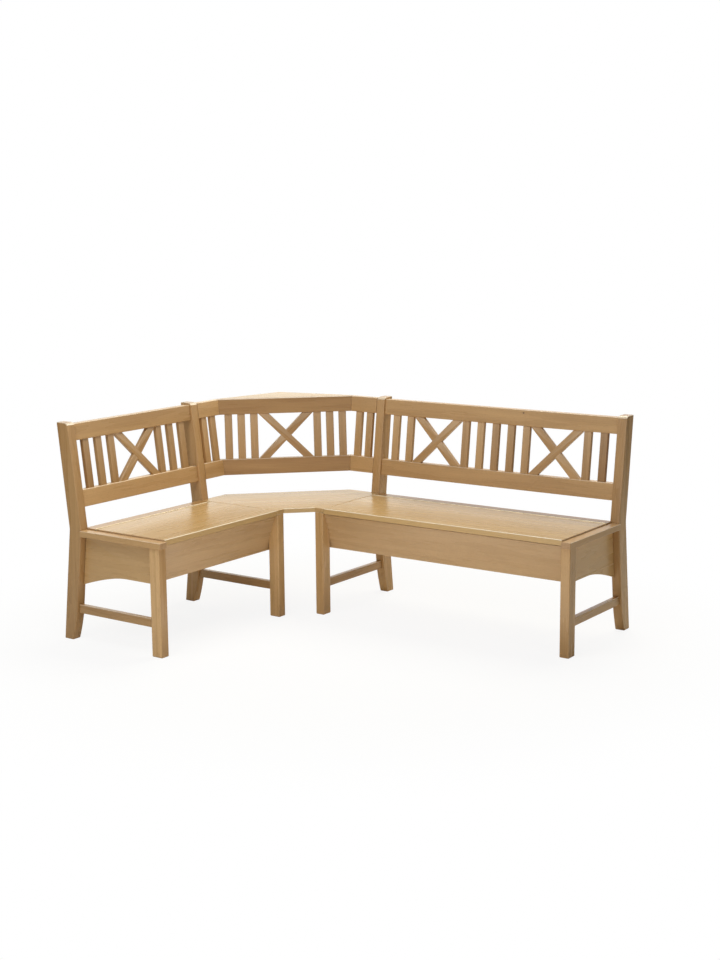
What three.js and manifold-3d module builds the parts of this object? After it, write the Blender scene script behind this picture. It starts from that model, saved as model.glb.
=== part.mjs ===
// Corner storage bench in solid beech: a long and a short chest bench with lift-up seats,
// joined by a corner seat, a three-sided corner backrest and a small top shelf.
//
// The two front planes of the benches meet in the corner line, x = 0 and y = 0. The long
// bench runs along +x and faces -y, the short bench runs along -y and faces +x. Each bench
// is drawn in its own frame: x along it, y deep (0 at the front legs, growing backwards),
// z up. Everything is in millimetres, and the finished group is centred over the floor.

import * as THREE from "three";
import { mergeVertices } from "three/addons/utils/BufferGeometryUtils.js";
import Module from "manifold-3d";

// Overall layout
const longLength = 1228.5;
const shortLength = 784;
const cornerOffset = 95;
const seatHeight = 470;
const seatDepth = 422;
const postHeight = 898;

// Clearances
const jointGap = 0.3;
const lidGap = 1.5;
const cutOverrun = 20;

// End frames
const frameThickness = 41;
const legDepth = 52;
const postDepth = 64.5;
const postTaper = 3.5;
const footDepth = 47.5;
const footCurveGap = 4;
const legSplayDegrees = 6.4;
const backRakeDegrees = 7;
const crestDrop = 10;
const crestRun = 22;
const endRailDrop = 5.4;
const endRailThickness = 25;
const endRailOverhang = 14;
const endRailLip = 8;
const panelThickness = 12;
const panelRecess = 29;
const panelFrontHeight = 286;
const panelRearHeight = 233;
const panelArchRun = 240;
const stretcherHeight = 35.5;
const stretcherThickness = 21;
const stretcherRecess = 10;
const stretcherBottom = 115.5;
const bearerHeight = 30;
const bearerThickness = 20;
const bearerSetback = 12;

// Seats and chests
const lidThickness = 24;
const rearStripWidth = 55.6;
const seatRearInset = 10;
const cornerSeatThickness = 20;
const cornerSeatLap = 1.5;
const frontBoardThickness = 17;
const frontBoardInset = 13;
const frontBoardLean = 54.5;
const frontBoardBottom = 286;
const rearBoardThickness = 15;
const floorThickness = 8;
const floorRise = 4;

// Full-length hinges
const barrelRadius = 2.2;
const barrelGap = 0.5;
const barrelPitch = 60;
const pinRadius = 0.9;
const boreRadius = 1.2;
const leafThickness = 1;
const leafHeight = 16;
const hingeSlotHalf = 2.8;

// Backrests
const railThickness = 28;
const railRecess = 9;
const topRailDrop = 8;
const cornerRailRise = 3.5;
const slatWidth = 33.5;
const slatThickness = 18;
const slatRecess = 5;
const grooveDepth = 10;
const crossWidth = 248.5;
const crossGap = 2.7;
const wingReach = 120;

// Numbers of slats between the crosses of a backrest, and the end gap as a share of the other gaps
const longFill = { rows: [2, 5, 2], endShare: 1.09 };
const shortFill = { rows: [3, 3], endShare: 1.15 };
const diagonalFill = { rows: [3, 3], endShare: 0.82 };
const wingFill = { rows: [2], endShare: 0.84 };

// Top shelf
const shelfThickness = 20;
const shelfReach = 204;
const shelfTipWidth = 8;

// Heights of the rails, and of the opening under them, as shares of the backrest's height
const topRailShare = 0.1589;
const bottomRailShare = 0.1636;
const bottomOpeningShare = 0.1928;

// Facets of round and curved edges, and turns of a sum that is worked out in steps
const curveFacets = 8;
const settleTurns = 8;
const barrelFacets = 12;
const pinFacets = 8;

// Points where the curved edges bend, as shares of the run or the height that they follow
const footCurveShare = 0.45;
const footLeanShare = 0.4;
const crestShare = 0.35;
const archShare = 0.35;

// Values that follow from the driving dimensions
const backRake = Math.tan(THREE.MathUtils.degToRad(backRakeDegrees));
const legSplay = Math.tan(THREE.MathUtils.degToRad(legSplayDegrees));
const mitre = Math.tan(Math.PI / 8);
const diagonalShare = Math.SQRT1_2;
const endRailTop = seatHeight - endRailDrop;
const endRailBottom = endRailTop - endRailThickness;
const cornerSeatBottom = seatHeight - cornerSeatThickness;
const lidBottom = seatHeight - lidThickness;
const stretcherTop = stretcherBottom + stretcherHeight;
const footCurveTop = stretcherBottom - footCurveGap;
const seatRear = seatDepth + seatRearInset;
const hingeDepth = seatRear - rearStripWidth - hingeSlotHalf;
const topRailTop = postHeight - topRailDrop;
const backHeight = postHeight - seatHeight;
const topRailBottom = topRailTop - topRailShare * backHeight;
const bottomRailBottom = seatHeight + bottomOpeningShare * backHeight;
const bottomRailTop = bottomRailBottom + bottomRailShare * backHeight;
const middleHeight = (topRailBottom + bottomRailTop) / 2;
const cornerRailTop = topRailTop + cornerRailRise;
const grooveWidth = slatThickness + 2 * jointGap;
const tongueHeight = grooveDepth - jointGap;
const innerLap = frameThickness + cornerSeatLap;

// Depth of the raked front faces of the posts at a height above the elbow
function rakedFront(height) {
  return seatDepth + backRake * (height - endRailTop);
}

// Depth of the splayed front faces of the posts at a height between the foot and the elbow
function splayedFront(height) {
  return seatDepth + legSplay * (endRailTop - height);
}

// Depth of the front face of the leaning front board at a height
function boardFront(height) {
  const share = (lidBottom - height) / (lidBottom - frontBoardBottom);
  return frontBoardInset + frontBoardLean * share;
}

const footRear = splayedFront(0) + postDepth;

const beech = { color: "#c9a97e", roughness: 0.45, metalness: 0 };
const steel = { color: "#8d8779", roughness: 0.35, metalness: 0.9 };

const wasm = await Module();
wasm.setup();

function addPiece(group, name, geometry, look) {
  const piece = new THREE.Mesh(geometry, new THREE.MeshStandardMaterial(look));
  piece.name = name;
  group.add(piece);
}

function middle(range) {
  return (range[0] + range[1]) / 2;
}

// A closed polygon from pairs of coordinates
function outline(points) {
  return new THREE.Shape(points.map(([x, y]) => new THREE.Vector2(x, y)));
}

// A square-edged board filling three ranges
function block(along, deep, high) {
  const geometry = new THREE.BoxGeometry(along[1] - along[0], deep[1] - deep[0], high[1] - high[0]);
  return geometry.translate(middle(along), middle(deep), middle(high));
}

// A side view, drawn deep and high, carried along a range of the bench
function carryAlong(shape, along) {
  const run = { depth: along[1] - along[0], bevelEnabled: false, curveSegments: curveFacets };
  const geometry = new THREE.ExtrudeGeometry(shape, run);
  const deepAxis = new THREE.Vector3(0, 1, 0);
  const highAxis = new THREE.Vector3(0, 0, 1);
  const alongAxis = new THREE.Vector3(1, 0, 0);
  geometry.applyMatrix4(new THREE.Matrix4().makeBasis(deepAxis, highAxis, alongAxis));
  return geometry.translate(along[0], 0, 0);
}

// A front view, drawn along and high, carried back through a range of depths
function carryBack(shape, deep) {
  const run = { depth: deep[1] - deep[0], bevelEnabled: false };
  const geometry = new THREE.ExtrudeGeometry(shape, run);
  return geometry.rotateX(Math.PI / 2).translate(0, deep[1], 0);
}

// A plan view carried up through a range of heights
function carryUp(shape, high) {
  const run = { depth: high[1] - high[0], bevelEnabled: false };
  return new THREE.ExtrudeGeometry(shape, run).translate(0, 0, high[0]);
}

// Leans an upright backrest piece, whose depth counts from the post fronts, into its raked plane
function lean(geometry, elbowDepth) {
  const start = elbowDepth - backRake * endRailTop;
  const shear = new THREE.Matrix4().set(1, 0, 0, 0, 0, 1, backRake, start, 0, 0, 1, 0, 0, 0, 0, 1);
  return geometry.applyMatrix4(shear);
}

// Moves the vertices of one end face of a rail onto the upright mitre plane of a bend
function mitreEnd(geometry, end, bendAlong, bendDepth, slope) {
  const place = geometry.getAttribute("position");
  for (let i = 0; i < place.count; i += 1) {
    if (Math.abs(place.getX(i) - end) < jointGap) {
      place.setX(i, bendAlong + slope * (place.getY(i) - bendDepth));
    }
  }
  return geometry;
}

// Solids for joins and cuts
function toSolid(geometry) {
  const bare = new THREE.BufferGeometry();
  bare.setAttribute("position", geometry.getAttribute("position"));
  if (geometry.index) {
    bare.setIndex(geometry.index);
  }
  const merged = mergeVertices(bare);
  return new wasm.Manifold(new wasm.Mesh({
    numProp: 3,
    vertProperties: new Float32Array(merged.getAttribute("position").array),
    triVerts: new Uint32Array(merged.index.array),
  }));
}

function toGeometry(solid) {
  const mesh = solid.getMesh();
  const geometry = new THREE.BufferGeometry();
  geometry.setAttribute("position", new THREE.BufferAttribute(mesh.vertProperties, mesh.numProp));
  geometry.setIndex(new THREE.BufferAttribute(mesh.triVerts, 1));
  return geometry;
}

function join(geometries) {
  return geometries.map(toSolid).reduce((sum, solid) => sum.add(solid));
}

// Side view of a rear post: splayed foot, elbow at the seat, raked back, rounded front crest
function postShape() {
  const crestBase = postHeight - crestDrop;
  const crestFront = rakedFront(crestBase);
  const footFront = footRear - footDepth;
  const curveFront = splayedFront(footCurveTop);
  const shape = new THREE.Shape();
  shape.moveTo(footFront, 0);
  shape.lineTo(footRear, 0);
  shape.lineTo(seatDepth + postDepth, endRailTop);
  shape.lineTo(rakedFront(postHeight) + postDepth - postTaper, postHeight);
  shape.lineTo(crestFront + crestRun, postHeight);
  shape.quadraticCurveTo(crestFront + crestShare * crestRun, postHeight, crestFront, crestBase);
  shape.lineTo(seatDepth, endRailTop);
  shape.lineTo(curveFront, footCurveTop);
  shape.quadraticCurveTo(
    curveFront + footLeanShare * (footFront - curveFront), footCurveShare * footCurveTop, footFront, 0);
  return shape;
}

// Side view of an end panel between front leg and post, its lower edge sweeping down at the rear
function panelShape(top, sweeps) {
  const front = legDepth + jointGap;
  const rearHeight = sweeps ? panelRearHeight : frontBoardBottom;
  const frontHeight = sweeps ? panelFrontHeight : frontBoardBottom;
  const rear = splayedFront(rearHeight) - jointGap;
  const archStart = rear - panelArchRun;
  const shape = new THREE.Shape();
  shape.moveTo(front, top);
  shape.lineTo(front, frontHeight);
  if (sweeps) {
    shape.lineTo(archStart, frontHeight);
    shape.quadraticCurveTo(archStart + archShare * panelArchRun, frontHeight, rear, rearHeight);
  } else {
    shape.lineTo(rear, rearHeight);
  }
  shape.lineTo(splayedFront(top) - jointGap, top);
  return shape;
}

// Side view of a stretcher, cut to the splay of the post
function stretcherShape() {
  return outline([
    [legDepth + jointGap, stretcherBottom],
    [splayedFront(stretcherBottom) - jointGap, stretcherBottom],
    [splayedFront(stretcherTop) - jointGap, stretcherTop],
    [legDepth + jointGap, stretcherTop],
  ]);
}

// Side view of the leaning front board of a chest
function frontBoardShape() {
  const top = lidBottom - jointGap;
  return outline([
    [boardFront(frontBoardBottom), frontBoardBottom],
    [boardFront(frontBoardBottom) + frontBoardThickness, frontBoardBottom],
    [boardFront(top) + frontBoardThickness, top],
    [boardFront(top), top],
  ]);
}

// Side view of an upright backrest rail with a groove for the slats along one edge
function railShape(front, bottom, top, grooveOnTop) {
  const back = front + railThickness;
  const grooveFront = front + slatRecess - jointGap;
  const grooveBack = grooveFront + grooveWidth;
  if (grooveOnTop) {
    const grooveFloor = top - grooveDepth;
    return outline([
      [front, bottom], [back, bottom], [back, top], [grooveBack, top],
      [grooveBack, grooveFloor], [grooveFront, grooveFloor], [grooveFront, top], [front, top],
    ]);
  }
  const grooveCeiling = bottom + grooveDepth;
  return outline([
    [front, bottom], [grooveFront, bottom], [grooveFront, grooveCeiling],
    [grooveBack, grooveCeiling], [grooveBack, bottom], [back, bottom], [back, top], [front, top],
  ]);
}

// A row of upright slats, held together by the tongues that fill the rail grooves
function slatRow(start, count, gap, deep) {
  const low = bottomRailTop - tongueHeight;
  const high = topRailBottom + tongueHeight;
  const along = [start, start + count * slatWidth + (count - 1) * gap];
  const pieces = [block(along, deep, [low, bottomRailTop]), block(along, deep, [topRailBottom, high])];
  for (let i = 0; i < count; i += 1) {
    const left = start + i * (slatWidth + gap);
    pieces.push(block([left, left + slatWidth], deep, [low, high]));
  }
  return toGeometry(join(pieces));
}

// Front view of a glued-up cross of two halved slats, its four ends let into the rail grooves
function crossShape(centre) {
  const clearHeight = topRailBottom - bottomRailTop;
  const rise = clearHeight / 2;
  // The arm's lean and its level width depend on each other, so they are settled in turns
  let levelHalf = slatWidth / 2;
  for (let turn = 0; turn < settleTurns; turn += 1) {
    const run = crossWidth / 2 - levelHalf;
    levelHalf = (slatWidth / 2) * Math.hypot(1, run / rise);
  }
  const slope = (crossWidth / 2 - levelHalf) / rise;
  const reach = rise + tongueHeight;
  const crotch = levelHalf / slope;
  // Within the grooves the ends stand upright, so that they keep clear of the slats beside them
  const outer = crossWidth / 2;
  const inner = slope * reach - levelHalf;
  const corners = [
    [inner, reach], [outer, reach], [outer, rise], [levelHalf, 0], [outer, -rise], [outer, -reach],
    [inner, -reach], [0, -crotch], [-inner, -reach], [-outer, -reach], [-outer, -rise],
    [-levelHalf, 0], [-outer, rise], [-outer, reach], [-inner, reach], [0, crotch],
  ];
  return outline(corners.map(([x, y]) => [centre + x, middleHeight + y]));
}

// Slat rows with a cross between each two rows, spread over the clear width of a backrest whose
// rails stand a rise above those of the benches
function addBackFill(group, name, clear, fill, railFront, elbowDepth, rise) {
  const crosses = fill.rows.length - 1;
  const slatCount = fill.rows.reduce((sum, count) => sum + count, 0);
  const taken = slatCount * slatWidth + crosses * (crossWidth + 2 * crossGap);
  const gaps = slatCount - fill.rows.length + 2 * fill.endShare;
  const gap = (clear[1] - clear[0] - taken) / gaps;
  const deep = [railFront + slatRecess, railFront + slatRecess + slatThickness];
  let start = clear[0] + fill.endShare * gap;
  fill.rows.forEach((count, row) => {
    const slats = slatRow(start, count, gap, deep).translate(0, 0, rise);
    addPiece(group, `${name}_slat_row_${row + 1}`, lean(slats, elbowDepth), beech);
    start += count * slatWidth + (count - 1) * gap + crossGap;
    if (row < crosses) {
      const cross = carryBack(crossShape(start + crossWidth / 2), deep).translate(0, 0, rise);
      addPiece(group, `${name}_cross_${row + 1}`, lean(cross, elbowDepth), beech);
      start += crossWidth + crossGap;
    }
  });
}

// The pair of rails of a backrest between two posts
function addBenchRails(group, name, along) {
  const bottomShape = railShape(railRecess, bottomRailBottom, bottomRailTop, true);
  const topShape = railShape(railRecess, topRailBottom, topRailTop, false);
  addPiece(group, `${name}_bottom_rail`, lean(carryAlong(bottomShape, along), seatDepth), beech);
  addPiece(group, `${name}_top_rail`, lean(carryAlong(topShape, along), seatDepth), beech);
}

// Full-length hinge: the fixed leaf holds the pin and the end barrels, the moving leaf the others
function hingeLeaf(along, moving) {
  const length = along[1] - along[0];
  const pairs = Math.max(1, Math.round(length / (2 * barrelPitch)));
  const count = 2 * pairs + 1;
  const pitch = length / count;
  const side = moving ? -1 : 1;
  const wall = hingeDepth + side * (hingeSlotHalf - jointGap);
  const inner = wall - side * leafThickness;
  const deep = [Math.min(wall, inner), Math.max(wall, inner)];
  const plateTop = seatHeight - barrelRadius - barrelGap;
  const pieces = [block(along, deep, [seatHeight - leafHeight, plateTop])];
  for (let i = moving ? 1 : 0; i < count; i += 2) {
    const from = along[0] + i * pitch + barrelGap / 2;
    const to = along[0] + (i + 1) * pitch - barrelGap / 2;
    pieces.push(rod([from, to], barrelRadius, barrelFacets));
    pieces.push(block([from, to], deep, [plateTop - leafThickness, seatHeight]));
  }
  if (moving) {
    const bore = toSolid(rod([along[0] - cutOverrun, along[1] + cutOverrun], boreRadius, pinFacets));
    return toGeometry(join(pieces).subtract(bore));
  }
  pieces.push(rod([along[0] + barrelGap, along[1] - barrelGap], pinRadius, pinFacets));
  return toGeometry(join(pieces));
}

// A round rod on the hinge axis
function rod(along, radius, facets) {
  const geometry = new THREE.CylinderGeometry(radius, radius, along[1] - along[0], facets);
  return geometry.rotateZ(Math.PI / 2).translate(middle(along), hingeDepth, seatHeight);
}

// Plan view of the strip behind the hinge, notched round the outer rear post
function stripPlan(inner, outer, postSide) {
  const front = hingeDepth + hingeSlotHalf;
  const postFront = seatDepth - jointGap;
  return outline([
    [inner, front], [outer, front], [outer, postFront], [postSide, postFront], [postSide, seatRear],
    [inner, seatRear],
  ]);
}

// One bench: outward is +1 where its outer end lies at +x of its frame, and -1 where it lies at -x
function addBench(group, name, length, fill, outward) {
  const range = (from, to) => {
    const ends = [outward * (cornerOffset + from), outward * (cornerOffset + to)];
    return ends.sort((a, b) => a - b);
  };
  const outerFrame = range(length - frameThickness, length);
  const innerFrame = range(0, frameThickness);
  const betweenFrames = range(frameThickness + jointGap, length - frameThickness - jointGap);
  const outerPanelFace = length - panelRecess;
  const innerPanelFace = (frameThickness - panelThickness) / 2;
  const outerPanel = range(outerPanelFace - panelThickness, outerPanelFace);
  const innerPanel = range(innerPanelFace, innerPanelFace + panelThickness);
  const outerStretcherFace = length - stretcherRecess;
  const outerStretcher = range(outerStretcherFace - stretcherThickness, outerStretcherFace);
  const innerStretcher = range(stretcherRecess, stretcherRecess + stretcherThickness);
  const bearer = range(innerPanelFace - jointGap - bearerThickness, innerPanelFace - jointGap);

  addPiece(group, `${name}_outer_rear_post`, carryAlong(postShape(), outerFrame), beech);
  addPiece(group, `${name}_inner_rear_post`, carryAlong(postShape(), innerFrame), beech);
  const outerLegHigh = [0, endRailBottom - jointGap];
  const innerLegHigh = [0, cornerSeatBottom - jointGap];
  addPiece(group, `${name}_outer_front_leg`, block(outerFrame, [0, legDepth], outerLegHigh), beech);
  addPiece(group, `${name}_inner_front_leg`, block(innerFrame, [0, legDepth], innerLegHigh), beech);
  const railInside = length - frameThickness + endRailLip;
  const railAlong = range(railInside, length + endRailLip);
  const railDeep = [-endRailOverhang, seatDepth - jointGap];
  const railHigh = [endRailBottom, endRailTop];
  addPiece(group, `${name}_outer_end_rail`, block(railAlong, railDeep, railHigh), beech);
  const outerPanelShape = panelShape(endRailBottom - jointGap, true);
  const innerPanelShape = panelShape(cornerSeatBottom - jointGap, false);
  addPiece(group, `${name}_outer_end_panel`, carryAlong(outerPanelShape, outerPanel), beech);
  addPiece(group, `${name}_inner_end_panel`, carryAlong(innerPanelShape, innerPanel), beech);
  addPiece(group, `${name}_outer_stretcher`, carryAlong(stretcherShape(), outerStretcher), beech);
  addPiece(group, `${name}_inner_stretcher`, carryAlong(stretcherShape(), innerStretcher), beech);
  const bearerDeep = [legDepth + bearerSetback, seatDepth - bearerSetback];
  const bearerHigh = [cornerSeatBottom - jointGap - bearerHeight, cornerSeatBottom - jointGap];
  addPiece(group, `${name}_seat_bearer`, block(bearer, bearerDeep, bearerHigh), beech);

  addPiece(group, `${name}_front_board`, carryAlong(frontBoardShape(), betweenFrames), beech);
  const rearBoardDeep = [seatRear - rearBoardThickness, seatRear];
  const rearBoardHigh = [frontBoardBottom, lidBottom - jointGap];
  addPiece(group, `${name}_rear_board`, block(betweenFrames, rearBoardDeep, rearBoardHigh), beech);
  const floorBottom = frontBoardBottom + floorRise;
  const floorAlong = range(
    innerPanelFace + panelThickness + jointGap, outerPanelFace - panelThickness - jointGap);
  const floorFront = boardFront(floorBottom) + frontBoardThickness + jointGap;
  const floorDeep = [floorFront, rearBoardDeep[0] - jointGap];
  const floorHigh = [floorBottom, floorBottom + floorThickness];
  addPiece(group, `${name}_floor_board`, block(floorAlong, floorDeep, floorHigh), beech);

  const lidInner = innerLap + lidGap;
  const lidOuter = railInside - lidGap;
  const lidAlong = range(lidInner, lidOuter);
  const seatHigh = [lidBottom, seatHeight];
  addPiece(group, `${name}_lid`, block(lidAlong, [0, hingeDepth - hingeSlotHalf], seatHigh), beech);
  const postSide = length - frameThickness - jointGap;
  const stripEnds = [lidInner, lidOuter, postSide].map((place) => outward * (cornerOffset + place));
  addPiece(group, `${name}_rear_strip`, carryUp(stripPlan(...stripEnds), seatHigh), beech);
  addPiece(group, `${name}_hinge_fixed_leaf`, hingeLeaf(lidAlong, false), steel);
  addPiece(group, `${name}_hinge_moving_leaf`, hingeLeaf(lidAlong, true), steel);

  addBenchRails(group, name, betweenFrames);
  const clear = range(frameThickness, length - frameThickness);
  addBackFill(group, name, clear, fill, railRecess, seatDepth, 0);
}

// Where a wing of the corner backrest meets the diagonal, in the frame of the long bench
const bendAlong = cornerOffset - wingReach;
const diagonalDepth = (seatDepth - bendAlong) * diagonalShare;
const diagonalHalf = (seatDepth + bendAlong) * diagonalShare;

// Side views of the corner rails, flush with the posts and a rise above the rails of the benches
function cornerRails() {
  const low = [bottomRailBottom + cornerRailRise, bottomRailTop + cornerRailRise];
  return [
    ["bottom_rail", railShape(0, low[0], low[1], true)],
    ["top_rail", railShape(0, topRailBottom + cornerRailRise, cornerRailTop, false)],
  ];
}

// A wing of the corner backrest, flush with the post and mitred to the diagonal
function addWing(group, name, outward) {
  const post = outward * (cornerOffset - jointGap);
  const bend = outward * (bendAlong + jointGap);
  const along = [Math.min(post, bend), Math.max(post, bend)];
  cornerRails().forEach(([piece, shape]) => {
    const rail = lean(carryAlong(shape, along), seatDepth);
    addPiece(group, `${name}_${piece}`, mitreEnd(rail, bend, bend, seatDepth, -outward * mitre), beech);
  });
  const shift = outward * mitre * (rakedFront(middleHeight + cornerRailRise) + slatRecess - seatDepth);
  const clearBend = bend - shift;
  const clear = [Math.min(post, clearBend), Math.max(post, clearBend)];
  addBackFill(group, name, clear, wingFill, 0, seatDepth, cornerRailRise);
}

// The diagonal of the corner backrest, mitred to both wings
function addDiagonal(group) {
  const half = diagonalHalf - jointGap;
  cornerRails().forEach(([piece, shape]) => {
    const rail = lean(carryAlong(shape, [-half, half]), diagonalDepth);
    mitreEnd(rail, half, half, diagonalDepth, mitre);
    mitreEnd(rail, -half, -half, diagonalDepth, -mitre);
    addPiece(group, `corner_diagonal_${piece}`, rail, beech);
  });
  const clearHalf = half + mitre * (rakedFront(middleHeight + cornerRailRise) + slatRecess - seatDepth);
  const clear = [-clearHalf, clearHalf];
  addBackFill(group, "corner_diagonal", clear, diagonalFill, 0, diagonalDepth, cornerRailRise);
}

// The triangular shelf behind the top rail of the diagonal, cut to the rake of the rail
function addTopShelf(group) {
  const high = [cornerRailTop - shelfThickness, cornerRailTop];
  const railBack = diagonalDepth + rakedFront(cornerRailTop) - seatDepth + railThickness;
  const half = diagonalHalf + mitre * (railBack - diagonalDepth) - jointGap;
  const front = railBack - railThickness;
  const seam = railBack + jointGap;
  const tip = railBack + shelfTipWidth;
  const plan = carryUp(outline([
    [-half, front], [half, front], [half, seam], [half - shelfTipWidth, tip],
    [0, railBack + shelfReach], [shelfTipWidth - half, tip], [-half, seam],
  ]), high);
  const keepOut = block(
    [-half - cutOverrun, half + cutOverrun], [-cutOverrun, railThickness + jointGap],
    [high[0] - cutOverrun, high[1] + cutOverrun]);
  const cut = toSolid(plan).subtract(toSolid(lean(keepOut, diagonalDepth)));
  addPiece(group, "corner_top_shelf", toGeometry(cut), beech);
}

// The corner seat: over both inner end frames, notched round the posts, cut straight across the front
function addCornerSeat(group) {
  const lap = cornerOffset + innerLap;
  const side = cornerOffset - jointGap;
  const bend = bendAlong - mitre * seatRearInset;
  const postFront = seatDepth - jointGap;
  const longHalf = [
    [cornerOffset, 0], [lap, 0], [lap, postFront], [side, postFront], [side, seatRear], [bend, seatRear],
  ];
  const shortHalf = longHalf.map(([along, deep]) => [-deep, -along]).reverse();
  const plan = outline([...longHalf, ...shortHalf]);
  addPiece(group, "corner_seat_board", carryUp(plan, [cornerSeatBottom, seatHeight]), beech);
}

const bench = new THREE.Group();
const assembly = new THREE.Group();
const longEnd = cornerOffset + longLength + endRailLip;
const shortEnd = cornerOffset + shortLength + endRailLip;
assembly.position.set((footRear - longEnd) / 2, (shortEnd - footRear) / 2, 0);
bench.add(assembly);

const longSide = new THREE.Group();
addBench(longSide, "long", longLength, longFill, 1);
addWing(longSide, "corner_right_wing", 1);

const shortSide = new THREE.Group();
shortSide.rotation.z = Math.PI / 2;
addBench(shortSide, "short", shortLength, shortFill, -1);
addWing(shortSide, "corner_left_wing", -1);

const cornerBack = new THREE.Group();
cornerBack.rotation.z = Math.PI / 4;
addDiagonal(cornerBack);
addTopShelf(cornerBack);

assembly.add(longSide, shortSide, cornerBack);
addCornerSeat(assembly);

export default bench;
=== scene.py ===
"""Looks of the corner storage bench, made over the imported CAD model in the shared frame.

Each bench is drawn in its own frame, as in the part's source: x along the bench, y deep (0 at
the front legs, growing backwards), z up, in millimetres. The long bench is then left unturned,
the short bench is turned a quarter and the corner backrest an eighth, and all are shifted so
that the finished object is centred over the floor.
"""

import math
from functools import partial

import bpy
import numpy as np
from mathutils import Matrix


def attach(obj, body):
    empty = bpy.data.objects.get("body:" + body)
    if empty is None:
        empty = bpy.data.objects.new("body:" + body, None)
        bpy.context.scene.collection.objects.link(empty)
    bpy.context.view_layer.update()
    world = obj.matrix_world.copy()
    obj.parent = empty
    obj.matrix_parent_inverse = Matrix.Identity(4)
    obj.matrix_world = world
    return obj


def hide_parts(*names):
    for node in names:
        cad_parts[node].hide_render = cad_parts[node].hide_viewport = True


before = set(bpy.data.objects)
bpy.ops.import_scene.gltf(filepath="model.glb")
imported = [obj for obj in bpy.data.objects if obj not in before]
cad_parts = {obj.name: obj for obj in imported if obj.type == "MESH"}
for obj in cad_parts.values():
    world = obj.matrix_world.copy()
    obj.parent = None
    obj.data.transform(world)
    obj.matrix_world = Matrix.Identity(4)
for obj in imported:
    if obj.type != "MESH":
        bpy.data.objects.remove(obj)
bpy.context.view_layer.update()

# Overall layout, in millimetres
LONG_LENGTH = 1228.5
SHORT_LENGTH = 784
CORNER_OFFSET = 95
SEAT_HEIGHT = 470
SEAT_DEPTH = 422
POST_HEIGHT = 898

# Clearances
JOINT_GAP = 0.3
LID_GAP = 1.5

# End frames
FRAME_THICKNESS = 41
LEG_DEPTH = 52
POST_DEPTH = 64.5
POST_TAPER = 3.5
POST_ROUND = 8
ELBOW_ROUND = 30
FOOT_DEPTH = 47.5
FOOT_CURVE_TOP = 111.5
LEG_SPLAY = math.tan(math.radians(6.4))
BACK_RAKE = math.tan(math.radians(7))
CREST_DROP = 10
CREST_RUN = 22
END_RAIL_TOP = 464.6
END_RAIL_BOTTOM = 439.6
END_RAIL_OVERHANG = 14
END_RAIL_LIP = 8
PANEL_THICKNESS = 12
PANEL_RECESS = 29
PANEL_FRONT_HEIGHT = 286
PANEL_REAR_HEIGHT = 233
PANEL_ARCH_RUN = 240
STRETCHER_BOTTOM = 115.5
STRETCHER_TOP = 151
STRETCHER_THICKNESS = 21
STRETCHER_RECESS = 10
BEARER_HEIGHT = 30
BEARER_THICKNESS = 20
BEARER_SETBACK = 12

# Control points of the shaped curves, as shares of their run and rise
CREST_CONTROL = 0.35
FOOT_CONTROL_RUN = 0.4
FOOT_CONTROL_RISE = 0.45
PANEL_CONTROL = 0.35

# Shadow gaps, seen as dark lines: round the end panels and between a chest board and its lid
PANEL_SHADOW = 1.6
LID_REST = 4.5

# Seats and chests
LID_THICKNESS = 24
LID_BOTTOM = SEAT_HEIGHT - LID_THICKNESS
SEAT_REAR = 432
REAR_STRIP_WIDTH = 55.6
HINGE_SLOT_HALF = 2.8
HINGE_DEPTH = SEAT_REAR - REAR_STRIP_WIDTH - HINGE_SLOT_HALF
CORNER_SEAT_BOTTOM = 450
INNER_LAP = FRAME_THICKNESS + 1.5
BOARD_THICKNESS = 17
BOARD_INSET = 13
BOARD_LEAN = 54.5
BOARD_BOTTOM = 286
REAR_BOARD_THICKNESS = 15
FLOOR_BOTTOM = 290
FLOOR_THICKNESS = 8

# Full-length hinges
BARREL_RADIUS = 2.2
BARREL_GAP = 0.5
BARREL_PITCH = 60
PIN_RADIUS = 0.9
LEAF_THICKNESS = 1
LEAF_HEIGHT = 16
FOLD_DROP = 0.4
SCREW_PITCH = 85
SCREW_RADIUS = 2.1
SCREW_RISE = 0.5
SCREW_DROP = 1.5

# Backrests; the heights of the rails are shares of the back's height, measured on the photograph
BACK_HEIGHT = POST_HEIGHT - SEAT_HEIGHT
TOP_RAIL_SHARE = 0.1589
BOTTOM_RAIL_START = 0.1928
BOTTOM_RAIL_SHARE = 0.1636
RAIL_THICKNESS = 28
RAIL_RECESS = 9
TOP_RAIL_TOP = 890
TOP_RAIL_BOTTOM = TOP_RAIL_TOP - TOP_RAIL_SHARE * BACK_HEIGHT
BOTTOM_RAIL_BOTTOM = SEAT_HEIGHT + BOTTOM_RAIL_START * BACK_HEIGHT
BOTTOM_RAIL_TOP = BOTTOM_RAIL_BOTTOM + BOTTOM_RAIL_SHARE * BACK_HEIGHT
CORNER_RISE = 3.5
CORNER_RAIL_TOP = TOP_RAIL_TOP + CORNER_RISE
MIDDLE_HEIGHT = (TOP_RAIL_BOTTOM + BOTTOM_RAIL_TOP) / 2
SLAT_WIDTH = 33.5
SLAT_THICKNESS = 18
SLAT_RECESS = 5
SLAT_TENON = 9.5
ARM_TENON = 5
HALVING_STEP = 0.25
CROSS_WIDTH = 248.5
CROSS_GAP = 2.7
SETTLING_ROUNDS = 8
WING_REACH = 120
BEND_ALONG = CORNER_OFFSET - WING_REACH
MITRE = math.tan(math.pi / 8)
DIAGONAL_DEPTH = (SEAT_DEPTH - BEND_ALONG) * math.sqrt(0.5)
DIAGONAL_HALF = (SEAT_DEPTH + BEND_ALONG) * math.sqrt(0.5)

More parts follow.
